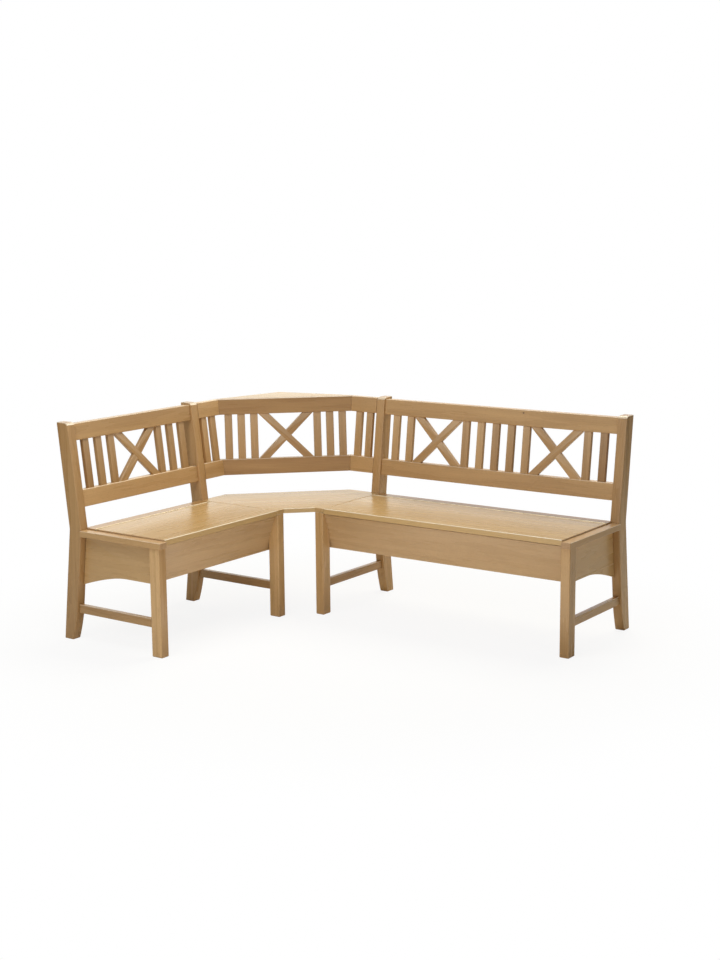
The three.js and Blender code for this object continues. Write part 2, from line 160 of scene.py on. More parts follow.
# How many slats stand in each row, with a cross between rows, and the gap before the first
# slat as a share of the gap between slats
LONG_ROWS, LONG_END_SHARE = (2, 5, 2), 1.09
SHORT_ROWS, SHORT_END_SHARE = (3, 3), 1.15
WING_ROWS, WING_END_SHARE = (2,), 0.84
DIAGONAL_ROWS, DIAGONAL_END_SHARE = (3, 3), 0.82

# Top shelf
SHELF_THICKNESS = 20
SHELF_REACH = 204
SHELF_TIP = 8
SHELF_TIP_ROUND = 4
SHELF_APEX_ROUND = 12
SHELF_SEAM_BAND = 3

# Arrises: how far the hand-sanded edges are eased, along the pieces and at their ends
ARRIS = 2.0
SLAT_ARRIS = 2.2
RAIL_ARRIS = 2.5
PANEL_ARRIS = 1.2
CHEST_ARRIS = 1.5
REAR_BOARD_ARRIS = 1.2
STRIP_ARRIS = 1.6
STRIP_CORNER = 2.0
SEAT_ARRIS = 2.4
CORNER_SEAT_CORNER = 2.6
LID_ARRIS = 3.2
LID_CORNER = 3.6
POST_ARRIS = 3.0
FOOT_CHAMFER = 3.5
SLAT_END = 0.4
MITRED_END = 0.5
BUTTED_END = 0.6
HOUSED_END = 0.8
LEAF_EDGE = 0.25
FOLD_EDGE = 0.2
BARREL_EDGE = 0.3

# How finely curves are divided, what counts as a flat side of an outline, and how far along
# its edges a rounded corner may reach
EASE_STEPS = 3
CORNER_STEPS = 5
CURVE_STEPS = 14
ROUND_SIDES = 24
SHARP_BEND = math.radians(8)
FLAT_WIDTH = 3
LEAST_REACH = 0.02
EDGE_SHARE = 0.45

# Axes of a bench frame
ALONG, DEEP, HIGH = 0, 1, 2

# The shift that brings the finished object over the centre of the floor
FOOT_REAR = SEAT_DEPTH + LEG_SPLAY * END_RAIL_TOP + POST_DEPTH
LONG_END = CORNER_OFFSET + LONG_LENGTH + END_RAIL_LIP
SHORT_END = CORNER_OFFSET + SHORT_LENGTH + END_RAIL_LIP
CENTRE_SHIFT = np.array([(FOOT_REAR - LONG_END) / 2, (SHORT_END - FOOT_REAR) / 2, 0.0])

random = np.random.default_rng(7)


# The camera stands at the photograph's angle; places in metres
CAMERA_PLACE = (np.array([4026.6, -5183.3, 1746.9]) + CENTRE_SHIFT) / 1000
CAMERA_YAW = math.radians(-35.4603)
CAMERA_DROP = math.radians(10.1022)
CAMERA_ROLL = math.radians(-0.4865)
FOCAL_PIXELS = 1543.51
IMAGE_HEIGHT = 960
SENSOR_HEIGHT = 36
FARTHEST_SEEN = 60


def make_camera():
    """Looks along the yawed and lowered line of sight, with its up direction rolled about it."""
    sight = np.array([
        math.sin(CAMERA_YAW) * math.cos(CAMERA_DROP),
        math.cos(CAMERA_YAW) * math.cos(CAMERA_DROP),
        -math.sin(CAMERA_DROP),
    ])
    level = np.array([math.cos(CAMERA_YAW), -math.sin(CAMERA_YAW), 0])
    upward = np.cross(level, sight)
    right = math.cos(CAMERA_ROLL) * level + math.sin(CAMERA_ROLL) * upward
    top = math.cos(CAMERA_ROLL) * upward - math.sin(CAMERA_ROLL) * level
    lens = bpy.data.cameras.new("camera")
    lens.sensor_fit = "VERTICAL"
    lens.sensor_height = SENSOR_HEIGHT
    lens.lens = FOCAL_PIXELS / IMAGE_HEIGHT * SENSOR_HEIGHT
    lens.clip_end = FARTHEST_SEEN
    camera = bpy.data.objects.new("camera", lens)
    place = Matrix(np.column_stack([right, top, -sight]).tolist()).to_4x4()
    place.translation = CAMERA_PLACE
    camera.matrix_world = place
    bpy.context.scene.collection.objects.link(camera)
    bpy.context.scene.camera = camera


make_camera()


def linear(colour):
    """Turns an sRGB hex colour into linear light, by the standard's curve, with full opacity."""
    parts = np.array([int(colour[i:i + 2], 16) for i in (1, 3, 5)]) / 255
    light = np.where(parts <= 0.04045, parts / 12.92, ((parts + 0.055) / 1.055) ** 2.4)
    return (*light.tolist(), 1.0)


def add_node(tree, kind, sockets=None, **settings):
    """Adds one shader node; sockets maps an input to a value or to the output that feeds it."""
    node = tree.nodes.new(kind)
    for key, value in settings.items():
        setattr(node, key, value)
    for key, value in (sockets or {}).items():
        if isinstance(value, bpy.types.NodeSocket):
            tree.links.new(value, node.inputs[key])
        else:
            node.inputs[key].default_value = value
    return node


def bare_material(name):
    """A named material with an empty node tree, and add_node for that tree."""
    material = bpy.data.materials.new(name)
    material.use_nodes = True
    material.node_tree.nodes.clear()
    return material, partial(add_node, material.node_tree)


# The small dark knot in the long bench's top rail: its place and radii in metres
KNOT_PLACE = tuple((np.array([842.3, 481.6, 876.9]) + CENTRE_SHIFT) / 1000)
KNOT_CORE = 0.0022
KNOT_EDGE = 0.0055

# Weights of the patterns in the tone of the wood, and the mean of the first three together
CLOUD_WEIGHT = 1.2
STREAK_WEIGHT = 0.36
RING_WEIGHT = -0.2
PATTERN_MEAN = 0.28
TONE_WEIGHT = 1.25
STAVE_WEIGHT = 0.3
FLECK_WEIGHT = 0.35
RELIEF = 0.02


def lacquered_beech(name, stave_width, dark, light, figure=1.0, painted_highlight=0.55):
    """Solid beech under a satin clear lacquer, cut from the log or glued up from staves.

    To the eye it is an even warm tan with long soft clouds and streaks, small dark flecks and
    a low sheen that mirrors the pale room at a shallow angle.

    The grain attribute counts millimetres along the grain, across it and through it from the
    heart of the log. The colour lies between a dark and a light beech by a sum of a broad
    clouding, fine streaks, yearly rings about the heart and the tone of each board and stave,
    a tone that on some pieces and faces is painted light and shade.
    The figure scales the patterns about their mean and the relief: 1 is lively, 0 is plain.
    The last argument is how far the arrises that face up are painted pale: a painted
    highlight that stands for the thin lines of light they catch.
    """
    material, add = bare_material(name)
    grain = add("ShaderNodeAttribute", attribute_name="grain").outputs["Vector"]
    tone = add("ShaderNodeAttribute", attribute_name="tone").outputs["Fac"]
    end = add("ShaderNodeAttribute", attribute_name="end").outputs["Fac"]

    # Each glued stave is a new piece of the log: its number picks a tone and a jump in the log
    split = add("ShaderNodeSeparateXYZ", {0: grain})
    staves = add("ShaderNodeMath", {0: split.outputs[1], 1: stave_width}, operation="DIVIDE")
    number = add("ShaderNodeMath", {0: staves.outputs[0]}, operation="FLOOR")
    pick = add("ShaderNodeTexWhiteNoise", {"W": number.outputs[0]}, noise_dimensions="1D")
    jump = add(
        "ShaderNodeVectorMath", {0: pick.outputs["Color"], 1: (3000, 90, 60)},
        operation="MULTIPLY")
    jumped = add("ShaderNodeVectorMath", {0: grain, 1: jump.outputs[0]}, operation="ADD")
    log = jumped.outputs[0]
    # The fibres wander by some 26 mm over 700 mm of length
    slow = add("ShaderNodeVectorMath", {0: log, 1: (700, 90, 90)}, operation="DIVIDE")
    wander = add("ShaderNodeTexNoise", {"Vector": slow.outputs[0], "Scale": 1.0, "Detail": 1.0})
    drift = add(
        "ShaderNodeVectorMath", {0: wander.outputs["Color"], 1: (0, 26, 26)}, operation="MULTIPLY")
    drifted = add("ShaderNodeVectorMath", {0: log, 1: drift.outputs[0]}, operation="ADD")
    fibre = drifted.outputs[0]
    # Patterns by their size along, across and through the fibres: broad clouding of 40 mm;
    # streaks of 4 mm, as the real ones are near 1 mm and would be lost; and ray flecks drawn
    # 1.4 mm wide and 12 mm long where real ones are half that
    patterns = []
    for size, detail, roughness in (
            ((450, 40, 40), 2.0, 0.5), ((600, 4, 4), 3.0, 0.6), ((12, 1.4, 1.4), 0.0, 0.5)):
        scaled = add("ShaderNodeVectorMath", {0: fibre, 1: size}, operation="DIVIDE")
        noise = add(
            "ShaderNodeTexNoise",
            {"Vector": scaled.outputs[0], "Scale": 1.0, "Detail": detail, "Roughness": roughness})
        patterns.append(noise.outputs["Fac"])
    cloud, streak, fleck = patterns
    # Yearly rings, drawn at 7 mm where beech has 3, so that they show; a wave ring repeats
    # every 0.314 of its unit
    ring_unit = 0.314 / 7
    turned = add(
        "ShaderNodeVectorMath", {0: fibre, 1: (ring_unit / 30, ring_unit, ring_unit)},
        operation="MULTIPLY")
    rings = add(
        "ShaderNodeTexWave",
        {"Vector": turned.outputs[0], "Scale": 1.0, "Distortion": 1.6, "Detail": 1.0,
         "Detail Scale": 1.2},
        wave_type="RINGS", rings_direction="X", wave_profile="SAW")
    flecked = add(
        "ShaderNodeMapRange", {"Value": fleck, "From Min": 0.62, "From Max": 0.76},
        interpolation_type="SMOOTHSTEP")

    # The tone is a weighted sum. Clouding, streaks and rings are each about a half in the mean,
    # so the sum starts at what keeps their mean whatever the figure
    total = PATTERN_MEAN - figure * (CLOUD_WEIGHT + STREAK_WEIGHT + RING_WEIGHT) / 2
    for pattern, weight in (
            (cloud, CLOUD_WEIGHT * figure), (streak, STREAK_WEIGHT * figure),
            (rings.outputs["Fac"], RING_WEIGHT * figure), (tone, TONE_WEIGHT),
            (pick.outputs["Value"], STAVE_WEIGHT)):
        added = add("ShaderNodeMath", {0: pattern, 1: weight, 2: total}, operation="MULTIPLY_ADD")
        total = added.outputs[0]
    share = add("ShaderNodeMapRange", {"Value": total, "From Max": 2.0})
    flecks = add(
        "ShaderNodeMath", {0: flecked.outputs[0], 1: FLECK_WEIGHT * figure}, operation="MULTIPLY")
    # End grain drinks more lacquer and comes out darker and redder
    pores = add(
        "ShaderNodeMix", {0: streak, 6: linear("#9A7550"), 7: linear("#BC986E")}, data_type="RGBA")
    # One pin knot, some 7 mm across
    place = add("ShaderNodeTexCoord").outputs["Object"]
    reach = add("ShaderNodeVectorMath", {0: place, 1: KNOT_PLACE}, operation="DISTANCE")
    knot = add(
        "ShaderNodeMapRange",
        {"Value": reach.outputs["Value"], "From Min": KNOT_CORE, "From Max": KNOT_EDGE,
         "To Min": 0.85, "To Max": 0.0},
        interpolation_type="SMOOTHSTEP")
    # Painted highlight: the arrises that face up are painted pale, standing for the thin lines of
    # light they catch
    arris = add("ShaderNodeAttribute", attribute_name="arris").outputs["Fac"]
    painted_highlight_cover = add("ShaderNodeMath", {0: arris, 1: painted_highlight}, operation="MULTIPLY")
    # Light beech over the dark by the tone, then flecks, end grain, knot and the painted arris
    # highlight over both
    wood = linear(dark)
    for cover, colour in (
            (share.outputs[0], linear(light)), (flecks.outputs[0], linear("#A67C4C")),
            (end, pores.outputs[2]), (knot.outputs[0], linear("#5E4028")),
            (painted_highlight_cover.outputs[0], linear("#FBEFD8"))):
        covered = add("ShaderNodeMix", {0: cover, 6: wood, 7: colour}, data_type="RGBA")
        wood = covered.outputs[2]

    # The lacquer lies flat over the flecks but lets the streaks be felt
    relief = add("ShaderNodeMath", {0: streak, 1: flecked.outputs[0]}, operation="SUBTRACT")
    bump = add(
        "ShaderNodeBump",
        {"Strength": RELIEF * figure ** 2, "Distance": 0.0002, "Height": relief.outputs[0]})
    sheen = add(
        "ShaderNodeMapRange",
        {"Value": cloud, "From Min": 0.3, "From Max": 0.7, "To Min": 0.24, "To Max": 0.32})
    surface = add(
        "ShaderNodeBsdfPrincipled",
        {"Base Color": wood, "Roughness": sheen.outputs[0], "Normal": bump.outputs[0],
         "IOR": 1.5})
    add("ShaderNodeOutputMaterial", {0: surface.outputs[0]})
    return material


# Widths of what a piece is cut from: a plank wider than any of these, or staves near a hand's
PLANK_WIDTH = 4000
STAVE_WIDTH = 78

# Frames and backrests are sawn from planks: each piece has one figure from end to end
plank_beech = lacquered_beech("satin_lacquered_beech", PLANK_WIDTH, "#9A7242", "#DFB882")
# Chest boards are glued up from staves, whose seams show as faint steps of tone
glued_beech = lacquered_beech(
    "satin_lacquered_glued_beech", STAVE_WIDTH, "#9A764D", "#DEBA8A", 0.7)
# End panels are glued up from the same wood as the frames, and look a little calmer
panel_beech = lacquered_beech(
    "satin_lacquered_panel_beech", STAVE_WIDTH, "#9A7444", "#DFB982", 0.5)
# The seats and the shelf are of a calmer batch, sanded finer. Their slightly yellower, paler
# colour is partly their own and partly painted sheen of the lit tops, and their upward arrises
# carry the painted highlight in full
seat_beech = lacquered_beech(
    "satin_lacquered_seat_beech", STAVE_WIDTH, "#9C7A4A", "#E0BD84", 0.35, 1.0)


def rolled_steel(name):
    """Zinc-plated rolled steel, dulled by fine scratches along the hinge.

    To the eye it is one thin pale line between lid and strip, with no sharp reflection in it.
    """
    material, add = bare_material(name)
    place = add("ShaderNodeTexCoord").outputs["Object"]
    # Scratches 0.5 mm apart and 20 mm long
    stretched = add("ShaderNodeVectorMath", {0: place, 1: (50, 50, 2000)}, operation="MULTIPLY")
    scratch = add(
        "ShaderNodeTexNoise", {"Vector": stretched.outputs[0], "Scale": 1.0, "Detail": 2.0})
    rough = add(
        "ShaderNodeMapRange",
        {"Value": scratch.outputs["Fac"], "From Min": 0.3, "From Max": 0.7, "To Min": 0.58,
         "To Max": 0.68})
    colour = add(
        "ShaderNodeMix", {0: scratch.outputs["Fac"], 6: linear("#C4B69A"), 7: linear("#D7CAB0")},
        data_type="RGBA")
    surface = add(
        "ShaderNodeBsdfPrincipled",
        {"Base Color": colour.outputs[2], "Roughness": rough.outputs[0], "Metallic": 1.0})
    add("ShaderNodeOutputMaterial", {0: surface.outputs[0]})
    return material


hinge_steel = rolled_steel("dull_plated_hinge_steel")


def curve(start, control, finish):
    """Points of a quadratic curve: the start, control and end weighted by (1-t)^2, 2t(1-t), t^2."""
    t = np.linspace(0, 1, CURVE_STEPS + 1)[:, None]
    start, control, finish = (np.asarray(point, float) for point in (start, control, finish))
    return (1 - t) ** 2 * start + 2 * t * (1 - t) * control + t ** 2 * finish


def softened(corners, radius):
    """Each corner of a closed outline becomes a circular arc of a radius, one for all or one each.

    The arc leaves the two edges at the radius over the tangent of half the corner, or at the
    edge share of the shorter edge if that is nearer, and is the quadratic curve whose middle
    point is weighted by the cosine of half the turn. The outline comes out anticlockwise.
    """
    corners = np.asarray(corners, float)
    back = np.roll(corners, 1, 0) - corners
    forth = np.roll(corners, -1, 0) - corners
    back_length = np.linalg.norm(back, axis=1)
    forth_length = np.linalg.norm(forth, axis=1)
    back = back / back_length[:, None]
    forth = forth / forth_length[:, None]
    cosine = np.clip(np.sum(back * forth, axis=1), -1, 1)
    reach = radius * np.sqrt((1 + cosine) / np.maximum(1 - cosine, 1e-9))
    reach = np.clip(reach, LEAST_REACH, EDGE_SHARE * np.minimum(back_length, forth_length))[:, None]
    leave = corners + back * reach
    meet = corners + forth * reach
    weight = np.sqrt((1 - cosine) / 2)[:, None, None]
    t = np.linspace(0, 1, CORNER_STEPS)[None, :, None]
    start, middle, finish = (1 - t) ** 2, 2 * weight * t * (1 - t), t ** 2
    rounded = start * leave[:, None] + middle * corners[:, None] + finish * meet[:, None]
    rounded = (rounded / (start + middle + finish)).reshape(-1, 2)
    following = np.roll(rounded, -1, 0)
    area = np.sum(rounded[:, 0] * following[:, 1] - following[:, 0] * rounded[:, 1])
    return rounded if area > 0 else rounded[::-1]


def bisectors(outline):
    """Step of each corner that moves both its edges out by one: the sum of their outward
    normals over one plus the product of the two.
    """
    edge = np.roll(outline, -1, 0) - outline
    normal = np.column_stack([edge[:, 1], -edge[:, 0]]) / np.linalg.norm(edge, axis=1)[:, None]
    before = np.roll(normal, 1, 0)
    return (before + normal) / (1 + np.sum(before * normal, axis=1))[:, None]


def carried(outline, ends, ease, axes):
    """An outline carried along a straight path between two ends and closed there with flat faces.

    Near each end the stations follow a quarter circle: ease*(1-cos) in from the end, with the
    outline drawn in by ease*(1-sin) along its corner bisectors. The axes say which of along,
    deep and high the outline's two coordinates and the path take.
    Returns the points, the four-cornered faces, the two end faces and which of the former are
    rounded.
    """
    ease = np.broadcast_to(ease, 2)
    turn = np.linspace(0, np.pi / 2, EASE_STEPS + 1)
    near = 1 - np.cos(turn)
    drawn = 1 - np.sin(turn)
    stations = np.concatenate([ends[0] + ease[0] * near, (ends[1] - ease[1] * near)[::-1]])
    inset = np.concatenate([ease[0] * drawn, (ease[1] * drawn)[::-1]])
    rings = outline[None] - inset[:, None, None] * bisectors(outline)[None]
    count, size = len(stations), len(outline)
    points = np.empty((count, size, 3))
    points[:, :, axes[0]] = rings[:, :, 0]
    points[:, :, axes[1]] = rings[:, :, 1]
    points[:, :, axes[2]] = stations[:, None]
    first = np.arange(size)
    second = (first + 1) % size
    row = np.arange(count - 1)[:, None] * size
    quads = np.stack([row + first, row + second, row + size + second, row + size + first], axis=2)
    edge = outline[second] - outline[first]
    heading = np.arctan2(edge[:, 1], edge[:, 0])
    bend = np.abs((heading - np.roll(heading, 1) + np.pi) % (2 * np.pi) - np.pi)
    # A side is flat where it is long and both its ends turn off sharply, and not along a curve
    flat = (bend + np.roll(bend, -1) > SHARP_BEND) & (np.linalg.norm(edge, axis=1) > FLAT_WIDTH)
    main_span = np.arange(count - 1) == EASE_STEPS
    rounded = ~(main_span[:, None] & flat[None])
    caps = [first[::-1], (count - 1) * size + first]
    return points.reshape(-1, 3), quads.reshape(-1, 4), caps, rounded.ravel()


def together(forms):
    """Several forms as one: the corner numbers of each move up by the points before it."""
    starts = np.cumsum([0] + [len(form[0]) for form in forms])
    points = np.concatenate([form[0] for form in forms])
    quads = np.concatenate([form[1] + start for form, start in zip(forms, starts)])
    caps = [cap + start for form, start in zip(forms, starts) for cap in form[2]]
    return points, quads, caps, np.concatenate([form[3] for form in forms])


# Axes that an outline's two coordinates and its path take
SIDE_VIEW = (DEEP, HIGH, ALONG)
PLAN_VIEW = (ALONG, DEEP, HIGH)
FRONT_VIEW = (HIGH, ALONG, DEEP)


def rectangle(first, second):
    """Corners of a rectangle over two ranges."""
    low, high = second
    return [(first[0], low), (first[1], low), (first[1], high), (first[0], high)]


def board(along, deep, high, path, arris=ARRIS, ease=None):
    """A straight board over three ranges: its section, eased by the arris, carried on its path."""
    ranges = (along, deep, high)
    axes = {ALONG: SIDE_VIEW, DEEP: FRONT_VIEW, HIGH: PLAN_VIEW}[path]
    section = softened(rectangle(ranges[axes[0]], ranges[axes[1]]), arris)
    return carried(section, ranges[path], arris if ease is None else ease, axes)


def leaned(points, elbow_depth):
    """Leans upright points: each moves back by the rake times its height over the elbow."""
    points = points.copy()
    points[:, DEEP] += elbow_depth + BACK_RAKE * (points[:, HIGH] - END_RAIL_TOP)
    return points


def stretched(points, low_end, high_end):
    """Slides points along a rail so that its ends lie on two upright planes.

    Each end is (place of the square end, place of the bend, slope): the plane stands at the
    bend plus the slope times the depth past the bend line. Between them the slide is shared
    in proportion.
    """
    points = points.copy()
    along, deep = points[:, ALONG], points[:, DEEP]
    share = (along - low_end[0]) / (high_end[0] - low_end[0])
    low = low_end[0] + low_end[2] * (deep - low_end[1])
    high = high_end[0] + high_end[2] * (deep - high_end[1])
    points[:, ALONG] = low + share * (high - low)
    return points


# Pieces made paler or darker than the rest, by how much of the tone: partly the boards' own
# tone, partly painted light and shade, as on the rear strips, darkened for the shade along the
# seats' rear margins, and on the outer end panels, lightened against the shade of their recess
TONES_AND_PAINTED_SHADING = {
    "short_front_board_glued": -0.02,
    "short_bottom_rail_timber": 0.08,
    "short_outer_rear_post_timber": -0.28,
    # Painted light: the outer end panel is lightened against the shade of its recess
    "short_outer_end_panel_board": 0.2,
    "short_inner_front_leg_timber": 0.02,
    # Painted shade: the rear strip is darkened for the shade along the seat's rear margin
    "short_rear_strip_timber": -0.5,
    "corner_seat_glued": 0.1,
    "corner_top_shelf_glued": -0.1,
    "corner_diagonal_top_rail_timber": -0.55,
    "corner_diagonal_bottom_rail_timber": -0.4,
    "corner_left_wing_top_rail_timber": 0.5,
    "corner_left_wing_bottom_rail_timber": 0.35,
    "corner_right_wing_bottom_rail_timber": 0.4,
    "corner_right_wing_top_rail_timber": -0.12,
    "long_lid_glued": 0.05,
    # Painted shade: the rear strip is darkened for the shade along the seat's rear margin
    "long_rear_strip_timber": -1.0,
    "long_front_board_glued": -0.03,
    "long_bottom_rail_timber": 0.2,
    "long_inner_rear_post_timber": 0.05,
    "long_outer_rear_post_timber": -0.18,
    "long_outer_front_leg_timber": -0.35,
    # Painted light: the outer end panel is lightened against the shade of its recess
    "long_outer_end_panel_board": 0.22,
    "long_outer_end_rail_timber": -0.05,
    "long_slat_5": -0.45,
    "long_slat_6": -0.5,
    "long_slat_8": -0.35,
    "long_slat_9": -1.0,
}
# The crosses, the slats of the short back and of the diagonal, and the stretchers are darker
ARMS = ("whole", "upper_half", "lower_half")
TONES_AND_PAINTED_SHADING.update({"long_cross_1_whole_arm": -0.05, "long_cross_2_whole_arm": -0.15})
TONES_AND_PAINTED_SHADING.update({f"long_cross_1_{part}_arm": -0.15 for part in ARMS[1:]})
TONES_AND_PAINTED_SHADING.update({f"short_cross_1_{part}_arm": -0.2 for part in ARMS})
TONES_AND_PAINTED_SHADING.update({f"corner_diagonal_cross_1_{part}_arm": -0.4 for part in ARMS})
TONES_AND_PAINTED_SHADING.update({f"short_slat_{number}": -0.35 for number in range(1, 7)})
TONES_AND_PAINTED_SHADING.update({f"corner_diagonal_slat_{number}": -0.12 for number in range(1, 7)})
for end in ("outer", "inner"):
    TONES_AND_PAINTED_SHADING.update({f"{side}_{end}_stretcher_timber": -0.3 for side in ("long", "short")})

# Painted light and shade on legs and posts, to match how light falls on their faces: one face
# is made paler, another darker. The tone gains this much times each part of a face's outward
# direction
PAINTED_FACE_SHADING = {
    "short_outer_front_leg_timber": (-0.4, -0.5, 0),
    "long_outer_rear_post_timber": (0.15, 0.12, 0),
    "short_inner_front_leg_timber": (-0.18, -0.25, 0),
    "long_inner_front_leg_timber": (0.3, 0.1, 0),
}


# The heart of a log lies this far along, to one side and below the middle of a piece
LOG_LENGTH = 6000
HEART_ASIDE = 45
HEART_DEPTH = (30, 110)
MEAN_TONE = 0.5
TONE_SPREAD = 0.08
# Where end grain and the painted arris highlight come in and give way to a level top, each as a
# cosine and the run from it, and how fast the painted highlight fades towards a seam
END_GRAIN = (0.55, 0.3)
PAINTED_HIGHLIGHT_START = (0.2, 0.2)
TOP_START = (0.93, 0.05)
SEAM_FADE = 2.2


def risen(values, start, run):
    """0 up to the start, 1 from the start plus the run on, in proportion between them."""
    return np.clip((values - start) / run, 0, 1)


class Maker:
    """Places the pieces of one group: its turn about the corner, its shift to the floor centre."""

    def __init__(self, degrees):
        angle = math.radians(degrees)
        self.turn = np.array([
            [math.cos(angle), -math.sin(angle), 0],
            [math.sin(angle), math.cos(angle), 0],
            [0, 0, 1],
        ])

    def add(self, name, form, fibres, nodes, material=None, body="frame", warp=None):
        """Makes one piece: its form is warped, turned, shifted and scaled to metres.

        Fibres is the direction of its grain before it is warped.
        """
        points, quads, caps, rounded = form
        fibres = np.asarray(fibres, float)
        fibres = fibres / np.linalg.norm(fibres)
        middle = (points.min(0) + points.max(0)) / 2
        # Any direction far from the fibres will do to find the other two axes of the log
        spare = np.array([0, 0, 1.0]) if abs(fibres[2]) < 0.6 else np.array([1.0, 0, 0])
        across = np.cross(spare, fibres)
        across = across / np.linalg.norm(across)
        through = np.cross(fibres, across)
        basis = np.column_stack([fibres, across, through])
        heart = np.array([
            random.uniform(0, LOG_LENGTH), random.uniform(-HEART_ASIDE, HEART_ASIDE),
            random.uniform(*HEART_DEPTH)])
        grain = (points - middle) @ basis + heart
        if warp is not None:
            points = warp(points)
        placed = (points @ self.turn.T + CENTRE_SHIFT) / 1000
        mesh = bpy.data.meshes.new(name)
        mesh.from_pydata(placed, [], quads.tolist() + [cap.tolist() for cap in caps])
        smooth = np.concatenate([rounded, np.zeros(len(caps), bool)])
        mesh.polygons.foreach_set("use_smooth", smooth)
        mesh.update()
        normals = np.empty(len(points) * 3, np.float32)
        mesh.vertex_normals.foreach_get("vector", normals)
        normals = normals.reshape(-1, 3)
        # End grain shows where a face looks along the fibres
        run = self.turn @ fibres
        end = risen(np.abs(normals @ run), *END_GRAIN)
        # Painted highlight on eased edges between a top and a side face, partly up; those across
        # the grain, as at the seams of the seats, are left unpainted and stay as dark as the rest
        upward = normals[:, 2]
        seamward = np.abs(normals[:, :2] @ run[:2])
        arris = risen(upward, *PAINTED_HIGHLIGHT_START) * (1 - risen(upward, *TOP_START))
        arris *= np.clip(1 - SEAM_FADE * seamward, 0, 1)
        # The tone is each piece's random tone plus the table's offsets and the face shading, which
        # are partly painted light and shade
        piece_tone_and_shading = random.normal(MEAN_TONE, TONE_SPREAD) + TONES_AND_PAINTED_SHADING.get(name, 0)
        shade = piece_tone_and_shading + normals @ PAINTED_FACE_SHADING.get(name, (0, 0, 0))
        store(mesh, "grain", "FLOAT_VECTOR", grain)
        store(mesh, "tone", "FLOAT", shade)
        store(mesh, "end", "FLOAT", end)
        store(mesh, "arris", "FLOAT", arris)
        mesh.materials.append(material or plank_beech)
        piece = bpy.data.objects.new(name, mesh)
        bpy.context.scene.collection.objects.link(piece)
        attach(piece, body)
        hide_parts(*nodes)
        return piece

    def dress(self, node, kind, form, fibres, material=None, body="frame", warp=None):
        """Makes the one piece that stands for a whole node and is named after it."""
        self.add(f"{node}_{kind}", form, fibres, [node], material, body, warp)


def store(mesh, name, kind, values):
    """Keeps one value per vertex under a name that the finishes read."""
    attribute = mesh.attributes.new(name, kind, "POINT")
    field = "vector" if kind == "FLOAT_VECTOR" else "value"
    attribute.data.foreach_set(field, np.asarray(values, np.float32).ravel())


def raked_front(height):
    """Depth of the raked post fronts: the elbow's plus the rake times the height over it."""
    return SEAT_DEPTH + BACK_RAKE * (height - END_RAIL_TOP)


def splayed_front(height):
    """Depth of the splayed post fronts: the elbow's plus the splay times the drop below it."""
    return SEAT_DEPTH + LEG_SPLAY * (END_RAIL_TOP - height)


def board_front(height):
    """Depth of the leaning board's face: its inset plus its lean by the share of the drop."""
    return BOARD_INSET + BOARD_LEAN * (LID_BOTTOM - height) / (LID_BOTTOM - BOARD_BOTTOM)


def post_side():
    """Side view of a rear post: curved foot, splayed leg, elbow, raked back and rounded crest."""
    foot_rear = splayed_front(0) + POST_DEPTH
    foot_front = foot_rear - FOOT_DEPTH
    curve_front = splayed_front(FOOT_CURVE_TOP)
    crest_base = POST_HEIGHT - CREST_DROP
    crest_front = raked_front(crest_base)
    crest = curve(
        (crest_front + CREST_RUN, POST_HEIGHT),
        (crest_front + CREST_CONTROL * CREST_RUN, POST_HEIGHT), (crest_front, crest_base))
    hook = curve_front + FOOT_CONTROL_RUN * (foot_front - curve_front)
    foot = curve(
        (curve_front, FOOT_CURVE_TOP), (hook, FOOT_CONTROL_RISE * FOOT_CURVE_TOP), (foot_front, 0))
    corners = np.concatenate([
        [(foot_rear, 0), (SEAT_DEPTH + POST_DEPTH, END_RAIL_TOP),
         (raked_front(POST_HEIGHT) + POST_DEPTH - POST_TAPER, POST_HEIGHT)],
        crest, [(SEAT_DEPTH, END_RAIL_TOP)], foot])
    radius = np.full(len(corners), float(POST_ROUND))
    radius[[0, 1, 2, -1]] = (FOOT_CHAMFER, ELBOW_ROUND, POST_ARRIS, FOOT_CHAMFER)
    return softened(corners, radius)


def panel_side(top, sweeps):
    """Side view of an end panel, whose lower edge sweeps down to the post on the outer ends.

    It stays clear of the leg, post and rail around it by a shadow gap, seen as a dark line.
    """
    front = LEG_DEPTH + PANEL_SHADOW
    top = top - PANEL_SHADOW
    top_rear = splayed_front(top) - PANEL_SHADOW
    if not sweeps:
        low_rear = splayed_front(BOARD_BOTTOM) - PANEL_SHADOW
        return softened(
            [(front, top), (front, BOARD_BOTTOM), (low_rear, BOARD_BOTTOM), (top_rear, top)],
            PANEL_ARRIS)
    rear = splayed_front(PANEL_REAR_HEIGHT) - PANEL_SHADOW
    arch_start = rear - PANEL_ARCH_RUN
    control = arch_start + PANEL_CONTROL * PANEL_ARCH_RUN
    sweep = curve(
        (arch_start, PANEL_FRONT_HEIGHT), (control, PANEL_FRONT_HEIGHT), (rear, PANEL_REAR_HEIGHT))
    corners = np.concatenate([
        [(front, top), (front, PANEL_FRONT_HEIGHT)], sweep, [(top_rear, top)]])
    return softened(corners, PANEL_ARRIS)


def stretcher_side():
    """Side view of a stretcher, cut to the splay of the post."""
    front = LEG_DEPTH + JOINT_GAP
    return softened([
        (front, STRETCHER_BOTTOM), (splayed_front(STRETCHER_BOTTOM) - JOINT_GAP, STRETCHER_BOTTOM),
        (splayed_front(STRETCHER_TOP) - JOINT_GAP, STRETCHER_TOP), (front, STRETCHER_TOP)],
        RAIL_ARRIS)


def front_board_side():
    """Side view of the leaning front board of a chest."""
    top = LID_BOTTOM - LID_REST
    low, high = board_front(BOARD_BOTTOM), board_front(top)
    return softened([
        (low, BOARD_BOTTOM), (low + BOARD_THICKNESS, BOARD_BOTTOM), (high + BOARD_THICKNESS, top),
        (high, top)], CHEST_ARRIS)


